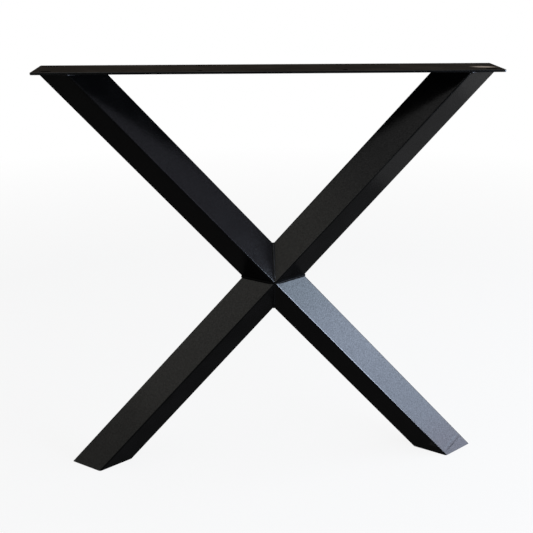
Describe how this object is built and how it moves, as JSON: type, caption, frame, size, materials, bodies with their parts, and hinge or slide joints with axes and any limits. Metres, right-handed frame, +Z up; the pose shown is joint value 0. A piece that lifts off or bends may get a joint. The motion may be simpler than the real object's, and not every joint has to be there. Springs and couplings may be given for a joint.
{
  "type": "x shaped table leg",
  "caption": "X shaped welded steel table leg of square tubes turned edge-on, under a flat mounting plate with screw slots, powder coated black.",
  "frame": {"origin": "on the floor, midway between the two feet", "axes": "+X along the mounting plate, +Y from the front to the back of the leg, +Z up"},
  "size_m": [0.78, 0.1, 0.74],
  "materials": {
    "tube_coat": "fine-textured black powder coat on steel tube",
    "plate_coat": "fine-textured black powder coat on flat steel",
    "weld_coat": "black powder coat over rippled weld metal"
  },
  "bodies": {
    "root": {"mounting_plate": "plate_coat", "upper_left_arm": "tube_coat", "upper_right_arm": "tube_coat", "lower_left_arm": "tube_coat", "lower_right_arm": "tube_coat", "left_foot_plate": "plate_coat", "right_foot_plate": "plate_coat", "left_top_weld": "weld_coat", "right_top_weld": "weld_coat", "crossing_weld": "weld_coat", "upper_mitre_weld": "weld_coat", "lower_mitre_weld": "weld_coat"}
  },
  "joints": []
}
